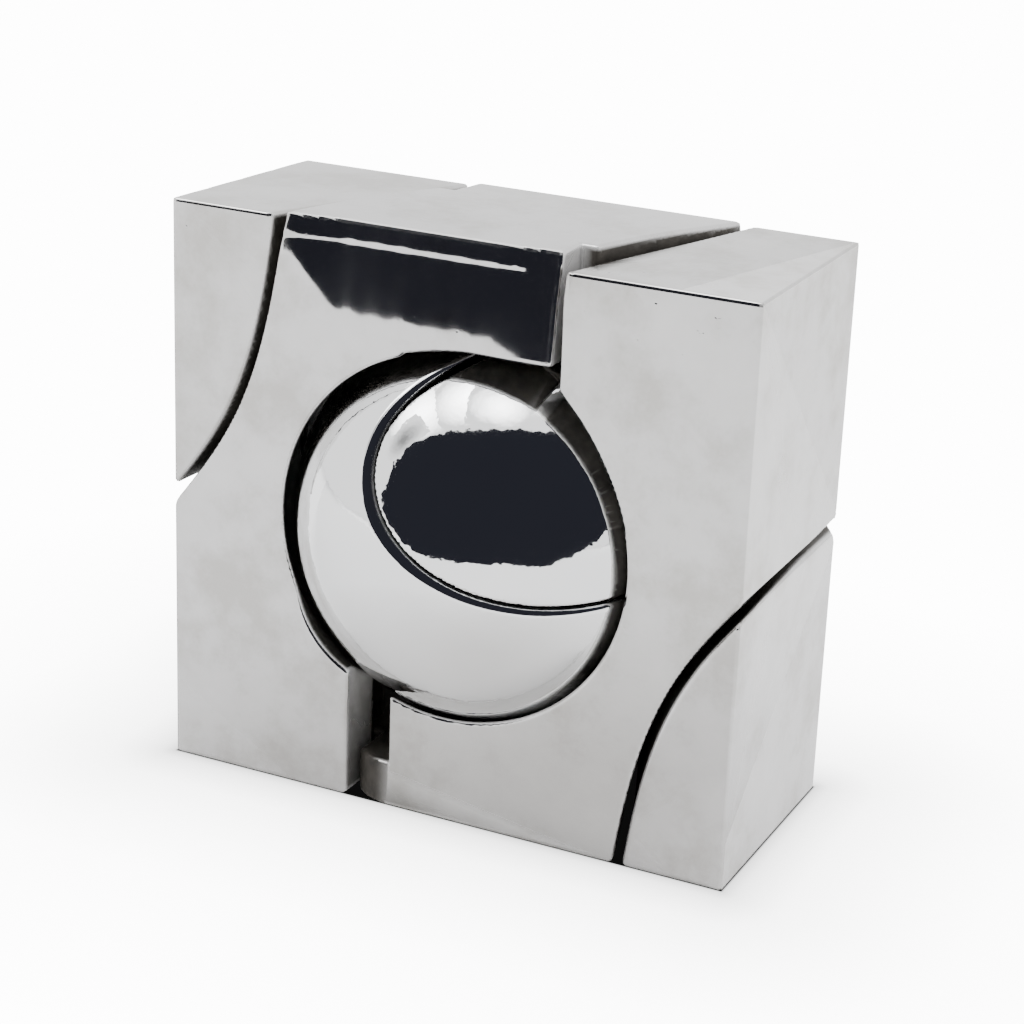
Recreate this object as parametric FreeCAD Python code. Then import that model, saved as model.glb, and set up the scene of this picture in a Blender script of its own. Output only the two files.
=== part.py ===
"""Block-and-ball take-apart puzzle: two interlocking frame arches round a split ball.

Frame of reference: millimetres, X across the block, Y from front to back, Z up.
The block stands on z = 0, centred on x = 0 and y = 0.
"""
import os
from math import cos, pi, radians, sin

import FreeCAD
import Part

V = FreeCAD.Vector

# --- sizes -------------------------------------------------------------
WIDTH = 46.0          # block, along X
DEPTH = 19.4          # block, along Y
HEIGHT_LOWER = 43.6   # top of the lower arch's right shoulder
HEIGHT_UPPER = 44.6   # the upper arch's bridge stands 1.0 proud of it
MID_Z = HEIGHT_LOWER / 2.0
LEFT_RISE = 0.8       # the left shoulder is this much higher at its front edge
BRIDGE_FALL = 0.8     # the bridge is this much lower at its back edge
BRIDGE_LEAN = 1.2     # the bridge's front leans back by this much at the top
LEAN_FROM_Z = 16.0    # height above the middle where that lean starts

PITCH = WIDTH         # the parting face makes one turn over the width
REACH = 30.0          # half length of the ruling lines, past every corner
OVERRUN = 2.0         # the parting face runs this far past both sides

BALL_R = 15.8
CAVITY_R = 16.5       # spherical seat
BALL_AT = V(0.25, -0.42, -0.30)   # it rests a little low and forward in the seat
WINDOW_R = 13.9       # round window, front and back
WINDOW_X = 0.4        # its centre, from the middle of the front face
WINDOW_Z = 0.4

# Where an arch's rim leaves the window's circle: a flat under the bridge, and
# two rounder stretches, one at the lower arch's tip and one down the leg.
FLAT_Z = 14.75
TIP_X, TIP_Z, TIP_R = -4.6, -0.7, 19.0
TIP_FROM_Z = 4.0
LEG_X, LEG_Z, LEG_R = -4.9, -4.8, 7.4

# Clearance of each arch from the ideal parting face:
# a constant part across the face, and an axial part that grows with radius.
LOWER_GAP, LOWER_SHIFT = 0.25, 0.10
UPPER_GAP, UPPER_SHIFT = 0.60, 0.60
BALL_GAP = 0.38       # each ball half back from its parting face

# The arches' thin edges end in flat walls, at these distances from the middle
UPPER_WALL_X = 7.8
LOWER_WALL_X = 8.45
WALL_DEPTH = 4.2
WALL_SPAN = 3.0       # past the thin edge, along X
WALL_GAP = 0.5        # the lower arch's foot stays this far off the upper's wall
WALL_FROM_Z = 10.5    # inside the windows' reach, so every thin edge is met

# Foot of the lower arch: its thin edge is rolled back, with a notch beside it
ROLL_X = -4.3         # where the front face starts to roll back
ROLL_R = 4.1
ROLL_SPAN = 8.0       # past the thin edge, along X
NOTCH_Z = -18.3       # lower end of the notch
NOTCH_DEPTH = 7.5

EDGE_ROUND = 0.5

# Ball: turned this far from the line-up with the arches
BALL_AXIS = V(-0.40, 0.48, 0.78)
BALL_TURN = 96.4


def placed(shape, at=V(), turn=FreeCAD.Rotation()):
    """Copy of a shape, turned about the block's middle, moved and stood on the ground."""
    out = shape.copy()
    out.Placement = FreeCAD.Placement(at + V(0, 0, MID_Z), turn)
    return out


def parting_face(gap, shift, half_length):
    """Helicoid about X; ruling lines pass the axis at distance gap.

    Each ruling is slanted so that its far ends are moved along X by
    +shift and -shift.
    """
    count = 61
    ends = ([], [])
    for i in range(count):
        x = -half_length + 2.0 * half_length * i / (count - 1)
        a = 2.0 * pi * (x / PITCH + 0.5)
        out_y, out_z = -cos(a), sin(a)          # along the ruling
        side_y, side_z = sin(a), cos(a)         # towards growing angle
        for sign, line in ((1.0, ends[0]), (-1.0, ends[1])):
            line.append(V(x + sign * shift,
                          sign * REACH * out_y + gap * side_y,
                          sign * REACH * out_z + gap * side_z))
    params = [i / (count - 1.0) for i in range(count)]
    rails = []
    for line in ends:
        curve = Part.BSplineCurve()
        curve.interpolate(Points=line, Parameters=params)
        rails.append(curve)
    face = Part.BSplineSurface()
    face.buildFromPolesMultsKnots(
        [rails[0].getPoles(), rails[1].getPoles()],
        [2, 2], rails[0].getMultiplicities(),
        [0.0, 1.0], rails[0].getKnots(),
        False, False, 1, rails[0].Degree)
    return face.toShape()


def keep_side(solid, face, inside):
    """Cut a solid in two with a face and keep the piece that holds a point."""
    cut, _ = solid.generalFuse([face])
    found = [s for s in cut.Solids if s.isInside(inside, 1e-4, False)]
    if len(found) != 1:
        raise RuntimeError("parting cut gave %d pieces" % len(found))
    return found[0]


def box(x0, x1, y0, y1, z0, z1):
    return Part.makeBox(x1 - x0, y1 - y0, z1 - z0, V(x0, y0, z0))


def prism(x0, x1, outline):
    """Solid with a (y, z) outline, from x0 to x1, its long edges rounded."""
    points = [V(x0, y, z) for y, z in outline]
    wire = Part.makePolygon(points + points[:1])
    solid = Part.Face(wire).extrude(V(x1 - x0, 0, 0))
    long_edges = []
    for edge in solid.Edges:
        m = edge.BoundBox.Center
        along_x = edge.BoundBox.XLength > 0.9 * (x1 - x0)
        if along_x and (m.z > MID_Z - 1 or m.z < 1 - MID_Z):
            long_edges.append(edge)
    return solid.makeFillet(EDGE_ROUND, long_edges)


def upper_block():
    """Block for the upper arch: its top falls to the back, its front leans."""
    top = HEIGHT_UPPER - MID_Z
    d = DEPTH / 2
    return prism(-WIDTH / 2, WIDTH / 2,
                 [(-d, -MID_Z), (d, -MID_Z), (d, top - BRIDGE_FALL),
                  (BRIDGE_LEAN - d, top), (-d, LEAN_FROM_Z)])


def lower_block():
    """Block for the lower arch: its left shoulder rises to the front."""
    top = HEIGHT_LOWER - MID_Z
    d = DEPTH / 2
    left = prism(-WIDTH / 2, 0.0,
                 [(-d, -MID_Z), (d, -MID_Z), (d, top), (-d, top + LEFT_RISE)])
    right = prism(0.0, WIDTH / 2,
                  [(-d, -MID_Z), (d, -MID_Z), (d, top), (-d, top)])
    return left.fuse(right)


def front_round(x, z, radius, depth):
    """Round bar that reaches a depth into the front face."""
    return Part.makeCylinder(radius, depth + DEPTH / 2, V(x, -DEPTH, z), V(0, 1, 0))


def hollow():
    """Spherical seat and the round windows that open it front and back."""
    windows = both_faces(front_round(WINDOW_X, WINDOW_Z, WINDOW_R, DEPTH / 2))
    return [Part.makeSphere(CAVITY_R)] + windows


def both_faces(tool):
    """A tool at the front and its half-turn copy (about Z) at the back."""
    twin = tool.copy()
    twin.rotate(V(0, 0, 0), V(0, 0, 1), 180)
    return [tool, twin]


def front_cut(x0, x1, z0, z1, depth):
    """Box that reaches a depth into the front face."""
    return box(x0, x1, -DEPTH, depth - DEPTH / 2, z0, z1)


def upper_arch():
    face = parting_face(-UPPER_GAP, UPPER_SHIFT, WIDTH / 2 + OVERRUN)
    whole = upper_block()
    arch = keep_side(whole, face, V(0, 0, MID_Z - 2))
    x, span = UPPER_WALL_X, WALL_SPAN
    grown = both_faces(front_cut(x - span, x, WALL_FROM_Z, WIDTH, WALL_DEPTH))
    grown += both_faces(front_cut(-x - span, -x, -WIDTH, -WALL_FROM_Z, WALL_DEPTH))
    arch = arch.fuse([whole.common(g) for g in grown])
    cuts = both_faces(front_cut(x, x + span, WALL_FROM_Z, WIDTH, WALL_DEPTH))
    cuts += both_faces(front_cut(-x, span - x, -WIDTH, -WALL_FROM_Z, WALL_DEPTH))
    cuts += both_faces(front_cut(WINDOW_X, x, 0, FLAT_Z, WALL_DEPTH))
    leg = front_round(LEG_X, LEG_Z, LEG_R, WALL_DEPTH)
    cuts += both_faces(leg.common(front_cut(-WIDTH, LEG_X, -WIDTH, LEG_Z, WALL_DEPTH)))
    return arch.cut(cuts + hollow()).removeSplitter()


def lower_arch():
    face = parting_face(LOWER_GAP, -LOWER_SHIFT, WIDTH / 2 + OVERRUN)
    arch = keep_side(lower_block(), face, V(0, 0, 2 - MID_Z))
    x = LOWER_WALL_X
    cuts = both_faces(front_cut(x - WALL_SPAN, x, WALL_FROM_Z, WIDTH, WALL_DEPTH))
    foot = ROLL_X - ROLL_SPAN
    roll = front_cut(foot, ROLL_X, -WIDTH, -WALL_FROM_Z, ROLL_R)
    core = Part.makeCylinder(ROLL_R, 2 * WIDTH,
                             V(ROLL_X, ROLL_R - DEPTH / 2, -WIDTH))
    cuts += both_faces(roll.cut(core))
    cuts += both_faces(front_cut(foot, WALL_GAP - UPPER_WALL_X, -WIDTH,
                                 -WALL_FROM_Z, WALL_DEPTH + WALL_GAP))
    cuts += both_faces(front_cut(-UPPER_WALL_X, ROLL_X, NOTCH_Z, -WALL_FROM_Z,
                                 NOTCH_DEPTH))
    tip = front_round(TIP_X, TIP_Z, TIP_R, WALL_DEPTH)
    cuts += both_faces(tip.common(front_cut(x - WALL_SPAN, WIDTH, TIP_FROM_Z, WIDTH, WALL_DEPTH)))
    return arch.cut(cuts + hollow())


def ball_halves():
    ball = Part.makeSphere(BALL_R)
    side_len = BALL_R + 1.0
    cube = box(-side_len, side_len, -side_len, side_len, -side_len, side_len)
    halves = []
    for gap, side in ((-BALL_GAP, 1.0), (BALL_GAP, -1.0)):
        face = parting_face(gap, 0.0, side_len + OVERRUN)
        half = keep_side(cube, face, V(0, 0, side * BALL_R / 2))
        halves.append(half.common(ball))
    return halves


def main():
    turn = FreeCAD.Rotation(BALL_AXIS, BALL_TURN)
    near, far = ball_halves()
    nodes = {
        "frame_upper": placed(upper_arch()),
        "frame_lower": placed(lower_arch()),
        "ball_half_a": placed(near, BALL_AT, turn),
        "ball_half_b": placed(far, BALL_AT, turn),
    }
    os.makedirs("parts", exist_ok=True)
    for name, shape in nodes.items():
        if shape.ShapeType != "Solid":
            solids = shape.Solids
            if len(solids) != 1:
                raise RuntimeError("%s has %d solids" % (name, len(solids)))
            shape = solids[0]
        shape.exportStep("parts/%s.step" % name)


main()
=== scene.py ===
"""Looks for a block-and-ball take-apart puzzle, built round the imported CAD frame. Metres, Z up."""
import math

import bpy
import numpy as np
from mathutils import Matrix, Vector


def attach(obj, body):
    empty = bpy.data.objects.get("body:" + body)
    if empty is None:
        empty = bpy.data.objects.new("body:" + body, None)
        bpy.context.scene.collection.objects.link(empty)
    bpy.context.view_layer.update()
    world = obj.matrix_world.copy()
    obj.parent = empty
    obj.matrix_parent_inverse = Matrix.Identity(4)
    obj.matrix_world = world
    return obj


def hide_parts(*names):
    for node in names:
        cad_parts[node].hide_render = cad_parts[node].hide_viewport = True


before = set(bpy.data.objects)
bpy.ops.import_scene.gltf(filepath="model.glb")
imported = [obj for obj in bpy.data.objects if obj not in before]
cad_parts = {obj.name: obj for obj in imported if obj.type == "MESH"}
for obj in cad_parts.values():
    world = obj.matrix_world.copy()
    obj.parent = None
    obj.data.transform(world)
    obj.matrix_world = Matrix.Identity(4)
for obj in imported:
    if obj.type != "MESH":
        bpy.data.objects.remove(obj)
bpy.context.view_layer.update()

MM = 0.001
GRID = 0.2     # mesh cell, mm
KEEP = 0.3      # share of the triangles left after thinning

# --- driving sizes, the same as the CAD model's, mm ---------------------
WIDTH = 46.0
DEPTH = 19.4
FRONT = -DEPTH / 2
HEIGHT_LOWER = 43.6
HEIGHT_UPPER = 44.6
MID_Z = HEIGHT_LOWER / 2
LEFT_RISE = 0.8
BRIDGE_FALL = 0.8
PITCH = WIDTH
REACH = 30.0
LOWER_GAP, LOWER_SHIFT = 0.25, 0.10
UPPER_GAP, UPPER_SHIFT = 0.60, 0.60
BALL_GAP = 0.38
UPPER_WALL_X = 7.8
LOWER_WALL_X = 8.45
WALL_DEPTH = 4.2
WALL_GAP = 0.5
WALL_FROM_Z = 10.5
WALL_SPAN = 3.0
ROLL_X = -4.3
ROLL_R = 4.1
ROLL_SPAN = 8.0
NOTCH_Z = -18.3
NOTCH_DEPTH = 7.5
BALL_R = 15.8
CAVITY_R = 16.5
BALL_AT = np.array([0.25, -0.42, -0.30])
WINDOW_R = 13.9
WINDOW_X = 0.4
WINDOW_Z = 0.4
TIP_X, TIP_Z, TIP_R = -4.6, -0.7, 19.0
TIP_FROM_Z = 4.0
LEG_X, LEG_Z, LEG_R = -4.9, -4.8, 7.4
BALL_TURN_AXIS = Vector((-0.40, 0.48, 0.78)).normalized()
BALL_TURN = math.radians(96.4)

# --- shape that only the looks have, mm -----------------------------------
EDGE = 0.34           # softness of the arches' edges along the seams
EDGE_OUT = 0.14       # and of the block's own edges
SEAT_EDGE = 0.3       # of the seat's rim
RIM_EDGE = 0.3        # of the corners where a rim leaves the window's circle
WALL_EDGE = 0.2       # of the small flat walls
NOTCH_EDGE = 0.4      # of the notch
EDGE_A = 0.25         # the ball half that shows as a disc has a crisp edge
EDGE_B = 0.5          # the other half's edge is rolled over
WORN_REACH = 0.36     # the metal is worn matt this close to a corner
WORN_TURN = 0.02      # where the surface turns this much: 1 less the turn's cosine
TWIST = 2 * math.pi / PITCH

# The bridge's top falls slightly from its front edge to a crease along its middle,
# and more steeply from there to the back.
CREASE_DROP = 0.1     # the crease lies this much below the upper arch's height
CREASE_SLOPE = 0.0112
CREASE_EDGE = 0.3

# The bridge's front leans back above a wavering line, but for one fine ripple.
LEAN = 0.15
LEAN_FROM_Z = 16.2
LEAN_EASE = 5.0                        # the line rises or falls over this much of X
LEAN_LEFT_X, LEAN_LEFT_RISE = -8.5, 3.8
LEAN_RIGHT_X, LEAN_RIGHT_FALL = 3.0, 2.4
LEAN_WAVER = 0.12
RIPPLE_Z = (21.0, 21.5)
RIPPLE_END_X = 5.2

# The flat over the window is 0.05 lower than the CAD part's and slopes down to the left.
FLAT_Z = 14.7
FLAT_FROM_X, FLAT_BEND_X = -3.5, 1.0
FLAT_SLOPE = 0.23
FLAT_EASE = 1.0

# How raw the metal is: 0 is polished and 1 is raw and dark. On the slot's wall, the tip's wall and the
# rolled foot it also carries painted shade and painted light.
RAW_DEPTH, RAW_FADE = 0.12, 0.3        # it turns raw this deep inside the block's faces
BALL_RAW_DEPTH, BALL_RAW_FADE = 0.22, 0.25
SLOT_WALL_SHADE = (0.18, 0.80)           # the wall beside the slot, at its top and at its foot: raw metal with painted shade, darker towards the foot
SLOT_WALL_Z, SLOT_WALL_FADE = -13.0, 4.5
# painted light: the wall at the tip is kept paler than the raw inside, as if lit
TIP_WALL_PAINTED_LIGHT = 0.4
ROLL_SHADE_FROM = 2.0                    # the rolled foot gets painted shade, as dark as raw metal, from this far right of the roll
ROLL_SHADE_FADE = 3.2                    # over this much of X
RIM_DEPTH = 2.2                        # the rim under the ball is half polished this deep
RIM_POLISH = 0.6
RIM_POLISH_Z, RIM_POLISH_FADE = -8.0, 3.0


# --- distance fields: negative inside, arrays of points in mm ------------
def both(a, b, r=EDGE):
    """Intersection of two solids with a rounded edge."""
    h = np.maximum(r - np.abs(a - b), 0.0)
    return np.maximum(a, b) + h * h / (4 * r)


def either(a, b, r=0.2):
    """Union of two solids."""
    return -both(-a, -b, r)


def past(u, soft=0.1):
    """Zero below 0 and u above it, with a soft corner."""
    return (u + np.sqrt(u * u + soft * soft)) / 2


def step(u):
    """0 to 1 as u goes from 0 to 1."""
    u = np.clip(u, 0, 1)
    return u * u * (3 - 2 * u)


def parting(x, y, z, gap, shift):
    """Distance past the screw-shaped parting face, positive towards growing angle."""
    t = 0.0
    for _ in range(3):
        a = TWIST * (x - shift * t / REACH) + math.pi
        t = -np.cos(a) * y + np.sin(a) * z
    across = np.sin(a) * y + np.cos(a) * z
    return (across - gap) / np.sqrt(1 + (TWIST * t) ** 2)


def sides(x, y, z):
    """The faces that both arches share: left, right, back and bottom."""
    f = both(np.abs(x) - WIDTH / 2, y - DEPTH / 2, EDGE_OUT)
    return both(f, -MID_Z - z, EDGE_OUT)


def front_box(x, y, z, x0, x1, z0, z1, depth):
    """Box that reaches a depth into the front face."""
    f = np.maximum(x0 - x, x - x1)
    f = np.maximum(f, np.maximum(z0 - z, z - z1))
    return np.maximum(f, y - (FRONT + depth))


def window(x, y, z):
    """Round bar through each window."""
    side = np.where(y < 0, 1, -1)
    return np.sqrt((x - side * WINDOW_X) ** 2 + (z - WINDOW_Z) ** 2) - WINDOW_R


def front_round(x, y, z, at_x, at_z, radius):
    """Round bar that reaches the walls' depth into the front face."""
    f = np.sqrt((x - at_x) ** 2 + (z - at_z) ** 2) - radius
    return np.maximum(f, y - (FRONT + WALL_DEPTH))


def hollow(x, y, z, f, opening):
    """Takes the ball's seat and the window openings out of a solid."""
    seat = CAVITY_R - np.sqrt(x * x + y * y + z * z)
    return both(both(f, seat, SEAT_EDGE), -opening)


def both_faces(x, y, z, change, f):
    """Makes a change at the front and its half-turn copy at the back."""
    f = change(x, y, z, f)
    return change(-x, -y, z, f)


def upper_block(x, y, z):
    """Block for the upper arch: its top has a crease, and its front leans back."""
    crease = HEIGHT_UPPER - MID_Z - CREASE_DROP
    front_top = z - (crease - CREASE_SLOPE * y)
    back_top = z - (crease - (BRIDGE_FALL - CREASE_DROP) * y / (DEPTH / 2))
    top = both(front_top, back_top, CREASE_EDGE)
    lean_from = LEAN_FROM_Z + LEAN_LEFT_RISE * step((LEAN_LEFT_X - x) / LEAN_EASE)
    lean_from = lean_from - LEAN_RIGHT_FALL * step((x - LEAN_RIGHT_X) / LEAN_EASE)
    lean_from = lean_from + LEAN_WAVER * np.sin(2.1 * x) * np.sin(0.7 * x + 1)
    ripple = past(z - RIPPLE_Z[0], 0.05) - past(z - RIPPLE_Z[1], 0.05)
    ripple = ripple * step(RIPPLE_END_X + 0.8 - x)
    lean = LEAN * (past(z - lean_from, 1.0) - ripple)
    f = both(sides(x, y, z), top, EDGE_OUT)
    return both(f, FRONT + lean - y, EDGE_OUT)


def lower_block(x, y, z):
    """Block for the lower arch: its left shoulder rises to the front."""
    rise = np.where(x < 0, LEFT_RISE * (DEPTH / 2 - y) / DEPTH, 0.0)
    f = both(sides(x, y, z), z - (HEIGHT_LOWER - MID_Z + rise), EDGE_OUT)
    return both(f, FRONT - y, EDGE_OUT)


def arch_upper(x, y, z):
    """Bridge, left leg and lower right wedge."""
    block = upper_block(x, y, z)
    skin = parting(x, y, z, -UPPER_GAP, UPPER_SHIFT)

    def walls(x, y, z, skin):
        w, span = UPPER_WALL_X, WALL_SPAN
        above = (WALL_FROM_Z, WIDTH, WALL_DEPTH)
        below = (-WIDTH, -WALL_FROM_Z, WALL_DEPTH)
        skin = either(skin, front_box(x, y, z, w - span, w, *above))
        skin = either(skin, front_box(x, y, z, -w - span, -w, *below))
        skin = both(skin, -front_box(x, y, z, w, w + span, *above), WALL_EDGE)
        return both(skin, -front_box(x, y, z, -w, span - w, *below), WALL_EDGE)

    def rims(x, y, z, opening):
        flat = front_box(x, y, z, FLAT_FROM_X, UPPER_WALL_X + 1, 0, FLAT_Z, WALL_DEPTH)
        flat = np.maximum(flat, z - (FLAT_Z - FLAT_SLOPE * past(FLAT_BEND_X - x, FLAT_EASE)))
        leg = front_round(x, y, z, LEG_X, LEG_Z, LEG_R)
        leg = np.maximum(leg, np.maximum(x - LEG_X, z - LEG_Z))
        return either(either(opening, flat, FLAT_EASE), leg, RIM_EDGE)

    skin = both_faces(x, y, z, walls, skin)
    opening = both_faces(x, y, z, rims, window(x, y, z))
    return hollow(x, y, z, both(block, skin), opening)


def arch_lower(x, y, z):
    """Left shoulder, right front and the foot under the window."""
    skin = -parting(x, y, z, LOWER_GAP, -LOWER_SHIFT)

    def walls(x, y, z, skin):
        tip = front_box(x, y, z, LOWER_WALL_X - WALL_SPAN, LOWER_WALL_X, WALL_FROM_Z, WIDTH,
                        WALL_DEPTH)
        foot = front_box(x, y, z, ROLL_X - ROLL_SPAN, WALL_GAP - UPPER_WALL_X, -WIDTH,
                         -WALL_FROM_Z, WALL_DEPTH + WALL_GAP)
        return both(both(skin, -tip, WALL_EDGE), -foot, WALL_EDGE)

    def roll(x, y, z, f):
        axis_y = FRONT + ROLL_R
        round_face = np.sqrt((x - ROLL_X) ** 2 + (y - axis_y) ** 2) - ROLL_R
        here = (x < ROLL_X) & (y < axis_y) & (z < -WALL_FROM_Z)
        f = np.where(here, np.maximum(f, round_face), f)
        notch = front_box(x, y, z, -UPPER_WALL_X - 1, ROLL_X, NOTCH_Z, -WALL_FROM_Z, NOTCH_DEPTH)
        return both(f, -notch, NOTCH_EDGE)

    def rims(x, y, z, opening):
        tip = front_round(x, y, z, TIP_X, TIP_Z, TIP_R)
        here = np.maximum(LOWER_WALL_X - WALL_SPAN - x, TIP_FROM_Z - z)
        return either(opening, np.maximum(tip, here), RIM_EDGE)

    skin = both_faces(x, y, z, walls, skin)
    f = both(lower_block(x, y, z), skin)
    f = both_faces(x, y, z, roll, f)
    return hollow(x, y, z, f, both_faces(x, y, z, rims, window(x, y, z)))


def ball_half(side, edge):
    """Field of one half of the ball, turned away from its line-up with the arches."""
    turn = Matrix.Rotation(BALL_TURN, 3, BALL_TURN_AXIS)
    back = np.array(turn.transposed())

    def field(x, y, z):
        x, y, z = x - BALL_AT[0], y - BALL_AT[1], z - BALL_AT[2]
        p = [back[i][0] * x + back[i][1] * y + back[i][2] * z for i in range(3)]
        ball = np.sqrt(x * x + y * y + z * z) - BALL_R
        cut = side * parting(p[0], p[1], p[2], -side * BALL_GAP, 0.0)
        return both(ball, cut, edge)
    return field


def inner_ball(x, y, z):
    """0 on the ball's polished outside, 1 on its dull parting face."""
    x, y, z = x - BALL_AT[0], y - BALL_AT[1], z - BALL_AT[2]
    return step((BALL_R - BALL_RAW_DEPTH - np.sqrt(x * x + y * y + z * z)) / BALL_RAW_FADE)


def inner_upper(x, y, z):
    """0 on the upper arch's polished outside, 1 on its raw inside; painted shade on the slot's wall and
    painted light on the tip's wall.
    """
    inner = step((-RAW_DEPTH - upper_block(x, y, z)) / RAW_FADE)

    def walls(x, y, z, inner):
        near = (y < FRONT + WALL_DEPTH + 0.3)
        # painted shade: the raw wall beside the slot is lighter at its top and darker towards its foot
        slot = near & (z < -WALL_FROM_Z) & (np.abs(x + UPPER_WALL_X) < 0.25)
        # painted light on the wall at the tip
        tip = near & (z > WALL_FROM_Z) & (np.abs(x - UPPER_WALL_X) < 0.25)
        top, foot = SLOT_WALL_SHADE
        slot_shade = top + (foot - top) * step((SLOT_WALL_Z - z) / SLOT_WALL_FADE)
        return inner * np.where(slot, slot_shade, np.where(tip, TIP_WALL_PAINTED_LIGHT, 1.0))

    return both_faces(x, y, z, walls, inner)


def inner_lower(x, y, z):
    """0 on the lower arch's polished outside, 1 on its raw inside; painted shade on the rolled foot."""
    inner = step((-RAW_DEPTH - lower_block(x, y, z)) / RAW_FADE)

    def foot(x, y, z, inner):
        # painted shade on the rolled foot below the notch, darker towards its left
        rolled = (z < NOTCH_Z - 0.1) & (x < ROLL_X) & (x > WALL_GAP - UPPER_WALL_X - 0.2)
        rolled_shade = step((ROLL_X + ROLL_SHADE_FROM - x) / ROLL_SHADE_FADE)
        inner = np.where(rolled & (y < FRONT + ROLL_R), rolled_shade, inner)
        rim = (y < FRONT + RIM_DEPTH) & (np.abs(window(x, y, z)) < 0.5) & (x > ROLL_X)
        polish = RIM_POLISH * step((RIM_POLISH_Z - z) / RIM_POLISH_FADE)
        return inner * np.where(rim, 1 - polish, 1.0)

    return both_faces(x, y, z, foot, inner)


# --- meshing --------------------------------------------------------------
def surface_net(field, low, high):
    """One vertex per grid cell that the surface crosses, pulled onto the surface."""
    axes = [np.arange(low[i] - 2 * GRID, high[i] + 2 * GRID, GRID) for i in range(3)]
    nx, ny, nz = map(len, axes)
    val = np.empty((nx, ny, nz), np.float32)
    for i in range(nx):
        val[i] = field(axes[0][i], axes[1][:, None], axes[2][None, :])
    inside = val < 0
    corners = [(i, j, k) for i in (0, 1) for j in (0, 1) for k in (0, 1)]
    total = np.zeros((nx - 1, ny - 1, nz - 1), np.int8)
    for i, j, k in corners:
        total += inside[i:nx - 1 + i, j:ny - 1 + j, k:nz - 1 + k]
    cells = (total > 0) & (total < 8)
    number = -np.ones(cells.shape, np.int64)
    at = np.argwhere(cells)
    number[cells] = np.arange(len(at))
    origin = np.array([a[0] for a in axes])
    # start at the mean of the edge crossings
    pos = np.zeros((len(at), 3))
    hits = np.zeros(len(at))
    for axis in range(3):
        along = np.eye(3, dtype=int)[axis]
        for c in corners:
            if c[axis]:
                continue
            a = at + np.array(c)
            b = a + along
            va = val[tuple(a.T)]
            vb = val[tuple(b.T)]
            cross = (va < 0) != (vb < 0)
            t = np.where(cross, va / np.where(cross, va - vb, 1), 0)
            pos[cross] += (a + t[:, None] * along)[cross]
            hits[cross] += 1
    pos = origin + GRID * pos / hits[:, None]
    pos = settle(field, pos)
    faces = []
    for axis in range(3):
        u, v = [(1, 2), (2, 0), (0, 1)][axis]
        lo = [slice(1, None)] * 3
        hi = [slice(1, None)] * 3
        lo[axis] = slice(0, -1)
        hi[axis] = slice(1, None)
        for c in (u, v):
            lo[c] = slice(1, -1)
            hi[c] = slice(1, -1)
        change = inside[tuple(lo)] != inside[tuple(hi)]
        e = np.argwhere(change)
        e[:, u] += 1
        e[:, v] += 1
        out = inside[tuple(e.T)]
        du = np.eye(3, dtype=int)[u]
        dv = np.eye(3, dtype=int)[v]
        ring = [number[tuple((e - d).T)] for d in (du + dv, dv, 0 * du, du)]
        quad = np.stack(ring, 1)
        quad[~out] = quad[~out][:, ::-1]
        faces.append(quad)
    return pos, np.concatenate(faces)


def slope(field, p, h=0.01):
    """Gradient of the field, by differences."""
    g = np.empty_like(p)
    for i in range(3):
        d = np.zeros(3)
        d[i] = h
        g[:, i] = (field(*(p + d).T) - field(*(p - d).T)) / (2 * h)
    return g


def settle(field, p, rounds=4):
    """Moves points onto the surface."""
    for _ in range(rounds):
        g = slope(field, p)
        move = field(*p.T)[:, None] * g / np.maximum((g * g).sum(1), 0.2)[:, None]
        size = np.linalg.norm(move, axis=1, keepdims=True)
        p = p - move * np.minimum(1, 0.5 * GRID / np.maximum(size, 1e-9))
    return p


def plain_mesh(name, pos, quads):
    """Mesh of four-sided faces."""
    mesh = bpy.data.meshes.new(name)
    mesh.vertices.add(len(pos))
    mesh.vertices.foreach_set("co", pos.ravel())
    mesh.loops.add(quads.size)
    mesh.loops.foreach_set("vertex_index", quads.ravel().astype(np.int32))
    mesh.polygons.add(len(quads))
    mesh.polygons.foreach_set("loop_start", np.arange(0, quads.size, 4, dtype=np.int32))
    mesh.update(calc_edges=True)
    mesh.validate()
    return mesh


def thinned(name, mesh):
    """Fewer triangles where the surface is flat."""
    dense = bpy.data.objects.new(name + "_dense", mesh)
    bpy.context.scene.collection.objects.link(dense)
    dense.modifiers.new("thin", "DECIMATE").ratio = KEEP
    ready = dense.evaluated_get(bpy.context.evaluated_depsgraph_get())
    out = bpy.data.meshes.new_from_object(ready)
    bpy.data.objects.remove(dense)
    bpy.data.meshes.remove(mesh)
    out.name = name
    return out


def set_share(mesh, label, domain, values):
    """Gives the material a number from 0 to 1 for each point or face."""
    share = mesh.attributes.new(label, "FLOAT", domain)
    share.data.foreach_set("value", values.astype(np.float32))


def least_at_corners(mesh, values):
    """Each face's least value, so that a long flat face isn't worn because one corner is."""
    corners = np.empty(len(mesh.loops), np.int32)
    mesh.loops.foreach_get("vertex_index", corners)
    starts = np.empty(len(mesh.polygons), np.int32)
    mesh.polygons.foreach_get("loop_start", starts)
    return np.minimum.reduceat(values[corners], starts)


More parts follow.
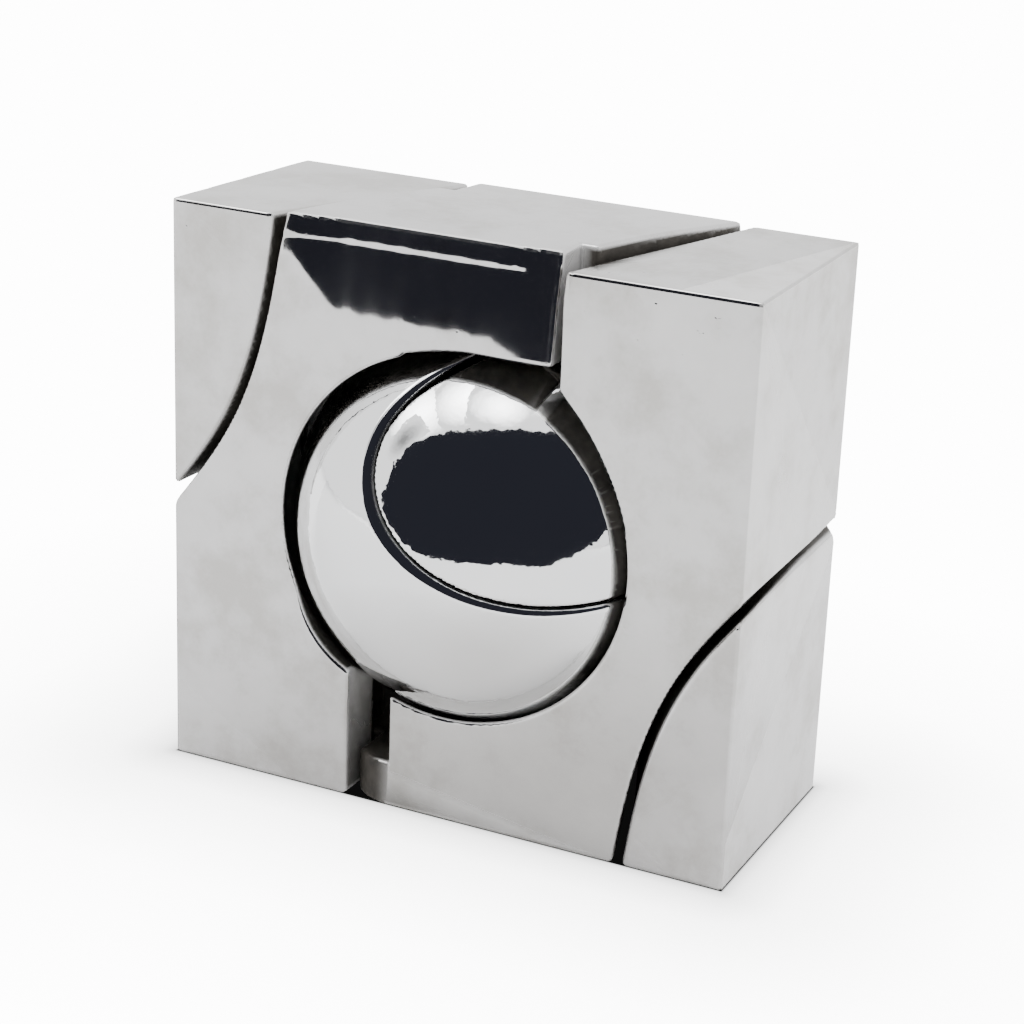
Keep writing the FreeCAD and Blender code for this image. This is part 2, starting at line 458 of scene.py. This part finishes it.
def make_piece(name, node, field, low, high, inner):
    """Piece that stands for a CAD node, with how raw and how worn its metal is."""
    pos, quads = surface_net(field, low, high)
    mesh = thinned(name, plain_mesh(name, pos, quads))
    pos = np.empty(3 * len(mesh.vertices))
    mesh.vertices.foreach_get("co", pos)
    pos = settle(field, pos.reshape(-1, 3), 2)
    mesh.vertices.foreach_set("co", ((pos + np.array([0, 0, MID_Z])) * MM).ravel())
    mesh.update()
    mesh.shade_smooth()
    normals = slope(field, pos)
    normals /= np.linalg.norm(normals, axis=1, keepdims=True)
    around = slope(field, pos, WORN_REACH)
    around /= np.linalg.norm(around, axis=1, keepdims=True)
    corner = step((1 - (normals * around).sum(axis=1)) / WORN_TURN)
    raw = inner(*pos.T)
    set_share(mesh, "inner", "POINT", raw)
    set_share(mesh, "worn", "FACE", least_at_corners(mesh, corner * (1 - raw)))
    mesh.normals_split_custom_set_from_vertices(normals.tolist())
    piece = bpy.data.objects.new(name, mesh)
    bpy.context.scene.collection.objects.link(piece)
    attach(piece, node)
    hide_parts(node)
    return piece


# --- materials --------------------------------------------------------------
class Nodes:
    """Short hand for building a procedural material."""

    def __init__(self, name):
        self.mat = bpy.data.materials.new(name)
        self.mat.use_nodes = True
        self.tree = self.mat.node_tree
        self.shader = self.tree.nodes["Principled BSDF"]

    def add(self, kind, **settings):
        node = self.tree.nodes.new(kind)
        for key, value in settings.items():
            if key in node.inputs:
                node.inputs[key].default_value = value
            else:
                setattr(node, key, value)
        return node

    def link(self, a, b):
        self.tree.links.new(a, b)

    def place(self, scale=(1, 1, 1)):
        coord = self.add("ShaderNodeTexCoord")
        mapping = self.add("ShaderNodeMapping")
        mapping.inputs["Scale"].default_value = scale
        self.link(coord.outputs["Object"], mapping.inputs["Vector"])
        return mapping.outputs["Vector"]

    def noise(self, where, scale, detail=3.0, rough=0.5):
        node = self.add("ShaderNodeTexNoise", Scale=scale, Detail=detail, Roughness=rough)
        self.link(where, node.inputs["Vector"])
        return node.outputs["Fac"]

    def ramp(self, value, stops):
        node = self.add("ShaderNodeValToRGB")
        ends = node.color_ramp.elements
        while len(ends) < len(stops):
            ends.new(0.5)
        for end, (pos, colour) in zip(ends, stops):
            if isinstance(colour, float):
                colour = (colour, colour, colour)
            end.position = pos
            end.color = (*colour, 1)
        self.link(value, node.inputs["Fac"])
        return node.outputs["Color"]

    def blend(self, share, a, b):
        """Colour a where share is 0, b where it is 1."""
        node = self.add("ShaderNodeMix", data_type="RGBA")
        self.link(share, node.inputs[0])
        for value, socket in ((a, node.inputs[6]), (b, node.inputs[7])):
            if isinstance(value, tuple):
                socket.default_value = (*value, 1)
            else:
                self.link(value, socket)
        return node.outputs[2]

    def bump(self, height, strength, distance, after=None):
        node = self.add("ShaderNodeBump", Strength=strength, Distance=distance)
        self.link(height, node.inputs["Height"])
        if after is not None:
            self.link(after, node.inputs["Normal"])
        return node.outputs["Normal"]


def frame_metal(name, tint, seed):
    """Hand-polished cast metal, cloudy and finely pitted; raw and dark inside, where the inner share
    also carries painted shade and painted light.
    """
    m = Nodes(name)
    where = m.place()
    moved = m.add("ShaderNodeVectorMath", operation="ADD")
    m.link(where, moved.inputs[0])
    moved.inputs[1].default_value = (seed, 0.3 * seed, 0.7 * seed)
    where = moved.outputs[0]
    inner = m.add("ShaderNodeAttribute", attribute_name="inner").outputs["Fac"]
    warm = (tint[0], 0.985 * tint[1], 0.955 * tint[2])
    dull = tuple(0.80 * c for c in warm)
    bright = tuple(1.06 * c for c in tint)
    polished = m.ramp(m.noise(where, 110, 6, 0.7), [(0.36, dull), (0.52, tint), (0.66, bright)])
    raw = m.ramp(m.noise(where, 400, 4, 0.6),
                 [(0.3, (0.022, 0.020, 0.017)), (0.75, (0.07, 0.063, 0.055))])
    m.link(m.blend(inner, polished, raw), m.shader.inputs["Base Color"])
    gloss = m.ramp(m.noise(where, 160, 5, 0.6), [(0.3, 0.055), (0.75, 0.13)])
    worn = m.add("ShaderNodeAttribute", attribute_name="worn").outputs["Fac"]
    gloss = m.blend(worn, gloss, (0.55, 0.55, 0.55))
    m.link(m.blend(inner, gloss, (0.5, 0.5, 0.5)), m.shader.inputs["Roughness"])
    pits = m.ramp(m.noise(where, 1500, 2, 0.5), [(0.20, 0.0), (0.27, 1.0)])
    n = m.bump(m.noise(where, 55, 2, 0.4), 0.20, 0.0005)
    n = m.bump(m.noise(where, 420, 3, 0.5), 0.06, 0.00008, n)
    n = m.bump(m.noise(where, 2600, 2, 0.5), 0.05, 0.00004, n)
    n = m.bump(pits, 0.2, 0.00004, n)
    m.link(n, m.shader.inputs["Normal"])
    metallic = m.ramp(inner, [(0.0, 1.0), (0.18, 0.3), (1.0, 0.5)])
    m.link(m.blend(worn, metallic, (0.35, 0.35, 0.35)), m.shader.inputs["Metallic"])
    return m.mat


def ball_metal(name, seed):
    """Mirror chrome with a faint orange-peel wave and hairline scratches."""
    m = Nodes(name)
    where = m.place()
    inner = m.add("ShaderNodeAttribute", attribute_name="inner").outputs["Fac"]
    chrome = m.ramp(m.noise(where, 60, 3, 0.5), [(0.3, (0.92, 0.93, 0.94)), (0.7, (0.98, 0.985, 0.99))])
    m.link(m.blend(inner, chrome, (0.02, 0.019, 0.018)), m.shader.inputs["Base Color"])
    gloss = m.ramp(m.noise(where, 200, 4, 0.6), [(0.35, 0.02), (0.8, 0.06)])
    m.link(m.blend(inner, gloss, (0.5, 0.5, 0.5)), m.shader.inputs["Roughness"])
    n = m.bump(m.noise(where, 110 + seed, 2, 0.5), 0.3, 0.0004)
    n = m.bump(m.noise(where, 480 + seed, 3, 0.6), 0.16, 0.00012, n)
    hair = m.noise(m.place((900, 900, 40)), 1.0, 2, 0.5)
    n = m.bump(hair, 0.03, 0.00003, n)
    m.link(n, m.shader.inputs["Normal"])
    m.shader.inputs["Metallic"].default_value = 1.0
    return m.mat


# --- pieces -------------------------------------------------------------------
half = np.array([WIDTH / 2, DEPTH / 2, MID_Z + LEFT_RISE])
rise = np.array([0, 0, HEIGHT_UPPER - HEIGHT_LOWER])
ball_low, ball_high = BALL_AT - BALL_R, BALL_AT + BALL_R
pieces = {
    "frame_lower": make_piece("lower_arch", "frame_lower", arch_lower, -half, half, inner_lower),
    "frame_upper": make_piece("upper_arch", "frame_upper", arch_upper, -half, half + rise,
                              inner_upper),
    "ball_half_a": make_piece("ball_shell_a", "ball_half_a", ball_half(1, EDGE_A),
                              ball_low, ball_high, inner_ball),
    "ball_half_b": make_piece("ball_shell_b", "ball_half_b", ball_half(-1, EDGE_B),
                              ball_low, ball_high, inner_ball),
}
looks = {
    "frame_lower": frame_metal("lower_arch_metal", (0.66, 0.655, 0.65), 0.0),
    "frame_upper": frame_metal("upper_arch_metal", (0.68, 0.675, 0.675), 0.31),
    "ball_half_a": ball_metal("ball_chrome_a", 0.0),
    "ball_half_b": ball_metal("ball_chrome_b", 9.0),
}
for node, piece in pieces.items():
    piece.data.materials.append(looks[node])


# --- stage, lights, camera ----------------------------------------------------
CENTRE = Vector((0, 0, MID_Z * MM))
SKY = 1.6                      # brightness of the studio all round
FLOOR_GLOW = 14.0
# painted shadow round the block's outline, in the glowing floor's colour
FLOOR_SHADE = [(0.0, 0.0004), (0.004, 0.16), (0.03, 0.27), (0.12, 0.47), (0.45, 0.8), (1.0, 1.0)]
FLOOR_SHADE_SPAN = (0.04, 0.04)        # m
SHEET_Z = -0.0005                      # the sheet lies this much lower than the floor, m
SHEET_FRONT, SHEET_BACK = 0.76, 0.92   # its paleness in front of the block and behind it: painted shade, darker in front
NEAR_HALF = 0.12                       # half the depth of its part in front, m
SHADE_AT = (0.006, -0.022)             # middle of its painted shadow, m
SHADE_SPAN = (0.045, 0.040)
DARK = (0.021, 0.022, 0.030)           # colour of the dark room, painted shade seen only in reflections
ROOM_R = 0.2                           # the dark room stands this far from the block's middle, m
ROOM_AT = (22, 27)                     # its middle: azimuth and elevation, degrees
ROOM_SPAN = (67, 36)                   # its half spans, degrees
ROOM_TILT = 0.05                       # its top and bottom rise this much to the right
ROOM_SQUARE = 0.8                      # 1 is an ellipse, less is nearer to a rectangle
LENS = 91.6
VIEW_AT = (25.44, 20.19)               # the camera's azimuth and elevation, degrees
VIEW_DISTANCE = 4.27 * WIDTH * MM
VIEW_ROLL = 2.26
AIM = CENTRE + Vector((0.66, 0.1, -0.3)) * MM


def from_centre(azimuth, elevation, distance):
    """Point seen from the block's middle; azimuth 0 is straight in front, positive to the right."""
    a, e = math.radians(azimuth), math.radians(elevation)
    out = Vector((math.sin(a) * math.cos(e), -math.cos(a) * math.cos(e), math.sin(e)))
    return CENTRE + distance * out


def stage_piece(name, points, faces, material, rays):
    """Mesh that isn't part of the object, and that only some kinds of ray meet."""
    mesh = bpy.data.meshes.new(name)
    mesh.from_pydata(points, [], faces)
    mesh.materials.append(material)
    obj = bpy.data.objects.new(name, mesh)
    bpy.context.scene.collection.objects.link(obj)
    for kind in ("camera", "diffuse", "glossy", "transmission", "shadow"):
        setattr(obj, "visible_" + kind, kind in rays)
    return obj


def card(name, size, material, rays):
    """Flat card, facing up."""
    w, h = size[0] / 2, size[1] / 2
    corners = [(-w, -h, 0), (w, -h, 0), (w, h, 0), (-w, h, 0)]
    return stage_piece(name, corners, [(0, 1, 2, 3)], material, rays)


def glow(name, strength):
    """Material that only glows."""
    m = Nodes(name)
    m.shader.inputs["Base Color"].default_value = (0, 0, 0, 1)
    m.shader.inputs["Specular IOR Level"].default_value = 0.0
    m.shader.inputs["Emission Strength"].default_value = strength
    return m


def reach(m, centre, spans, block=False):
    """Distance from a point of a card, or from the block's outline, as a share of the spans."""
    at = m.add("ShaderNodeTexCoord").outputs["Object"]
    steps = [("SUBTRACT", (*centre, 0)), ("ABSOLUTE", None)]
    if block:
        steps += [("SUBTRACT", (WIDTH / 2 * MM, DEPTH / 2 * MM, 0)), ("MAXIMUM", (0, 0, 0))]
    steps += [("DIVIDE", (*spans, 1)), ("LENGTH", None)]
    for operation, value in steps:
        node = m.add("ShaderNodeVectorMath", operation=operation)
        m.link(at, node.inputs[0])
        if value is not None:
            node.inputs[1].default_value = value
        at = node.outputs["Value" if operation == "LENGTH" else "Vector"]
    return at


def bright_floor():
    """Pale glowing floor that the camera sees, with a soft painted shadow close round the block."""
    m = glow("floor_shade", FLOOR_GLOW)
    shade = m.ramp(reach(m, (0, 0), FLOOR_SHADE_SPAN, block=True), FLOOR_SHADE)
    m.link(shade, m.shader.inputs["Emission Color"])
    card("floor", (6, 6), m.mat, ["camera"])


def white_sheet():
    """White sheet that the metal reflects, with painted shade: less bright in front, and a painted
    shadow by the right foot.
    """
    m = Nodes("sheet_shade")
    # painted shade: the sheet is darker in front of the block than behind it
    front_back_shade = m.ramp(reach(m, (0, -NEAR_HALF), (10, NEAR_HALF)),
                           [(0.93, SHEET_FRONT), (1.0, SHEET_BACK)])
    # painted shadow by the right foot, grey in the sheet's colour
    foot = m.ramp(reach(m, SHADE_AT, SHADE_SPAN), [(0.1, 0.0), (1.0, 1.0)])
    m.link(m.blend(foot, (0.52, 0.51, 0.50), front_back_shade), m.shader.inputs["Base Color"])
    m.shader.inputs["Roughness"].default_value = 0.9
    m.shader.inputs["Specular IOR Level"].default_value = 0.0
    card("white_sheet", (6, 6), m.mat, ["diffuse", "glossy"]).location.z = SHEET_Z


def dark_room():
    """The unlit room in front of the block, towards the viewer, as a dark glowing patch: painted shade
    that only reflections show.
    """
    points = [tuple(from_centre(*ROOM_AT, ROOM_R))]
    rings, spokes = 12, 180
    for i in range(1, rings + 1):
        for j in range(spokes):
            t = 2 * math.pi * j / spokes
            r = i / rings
            if i == rings:
                r += (0.012 * math.sin(9 * t + 1) + 0.010 * math.sin(23 * t)
                      + 0.008 * math.sin(41 * t + 2))
            wide = math.copysign(abs(math.cos(t)) ** ROOM_SQUARE, math.cos(t)) * r * ROOM_SPAN[0]
            high = math.copysign(abs(math.sin(t)) ** ROOM_SQUARE, math.sin(t)) * r * ROOM_SPAN[1]
            points.append(tuple(from_centre(ROOM_AT[0] + wide,
                                            ROOM_AT[1] + high + ROOM_TILT * wide, ROOM_R)))
    faces = [(0, 1 + j, 1 + (j + 1) % spokes) for j in range(spokes)]
    for i in range(rings - 1):
        for j in range(spokes):
            k = (j + 1) % spokes
            a, b = 1 + i * spokes, 1 + (i + 1) * spokes
            faces.append((a + j, b + j, b + k, a + k))
    m = glow("dark_room", 1.0)
    m.shader.inputs["Emission Color"].default_value = (*DARK, 1)
    stage_piece("dark_room", points, faces, m.mat, ["glossy"])


def soft_glow(name, azimuth, elevation, size, level, distance=0.5):
    """Soft-edged glowing patch of sky, brighter or darker than the rest, that only reflections show: a
    painted reflection.
    """
    top = max(level, SKY)
    m = glow(name, top)
    share = m.ramp(reach(m, (0, 0), (size[0] / 2, size[1] / 2)),
                   [(0.15, level / top), (1.0, SKY / top)])
    m.link(share, m.shader.inputs["Emission Color"])
    piece = card(name, size, m.mat, ["glossy"])
    piece.location = from_centre(azimuth, elevation, distance)
    piece.rotation_euler = (CENTRE - piece.location).to_track_quat("Z", "Y").to_euler()


def soft_light(name, place, size, power):
    """Lamp that lights the metal but doesn't show in it."""
    data = bpy.data.lights.new(name, "AREA")
    data.shape = "RECTANGLE"
    data.size, data.size_y = size
    data.energy = power
    light = bpy.data.objects.new(name, data)
    bpy.context.scene.collection.objects.link(light)
    light.location = place
    light.rotation_euler = (CENTRE - place).to_track_quat("-Z", "Y").to_euler()
    light.visible_glossy = False


bright_floor()
white_sheet()
dark_room()
# painted highlights of windows, and one painted darker patch, that only reflections show
soft_glow("window_glow_left", -62, 52, (0.30, 0.34), 8.0)
soft_glow("window_glow_high", -50, 74, (0.28, 0.34), 9.0, 0.48)
soft_glow("window_glow_right", 100, 76, (0.22, 0.16), 4.0)
soft_glow("window_glow_near", 10, 78, (0.24, 0.20), 7.0, 0.46)
soft_glow("grey_sky_patch", -52, 38, (0.10, 0.16), 0.4, 0.4)

world = bpy.data.worlds.new("studio")
bpy.context.scene.world = world
world.use_nodes = True
world.node_tree.nodes["Background"].inputs["Color"].default_value = (1, 1, 1, 1)
world.node_tree.nodes["Background"].inputs["Strength"].default_value = SKY

soft_light("key", from_centre(-60, 55, 0.9), (0.5, 0.5), 6)
soft_light("side", from_centre(100, 25, 0.8), (0.4, 0.5), 4)

camera_data = bpy.data.cameras.new("camera")
camera = bpy.data.objects.new("camera", camera_data)
bpy.context.scene.collection.objects.link(camera)
bpy.context.scene.camera = camera
camera_data.sensor_width = 36
camera_data.lens = LENS
camera_data.clip_start = 0.005
camera.location = from_centre(*VIEW_AT, VIEW_DISTANCE)
camera.rotation_mode = "QUATERNION"
look = (AIM - camera.location).to_track_quat("-Z", "Y")
camera.rotation_quaternion = look @ Matrix.Rotation(math.radians(VIEW_ROLL), 3, "Z").to_quaternion()

bpy.context.view_layer.update()
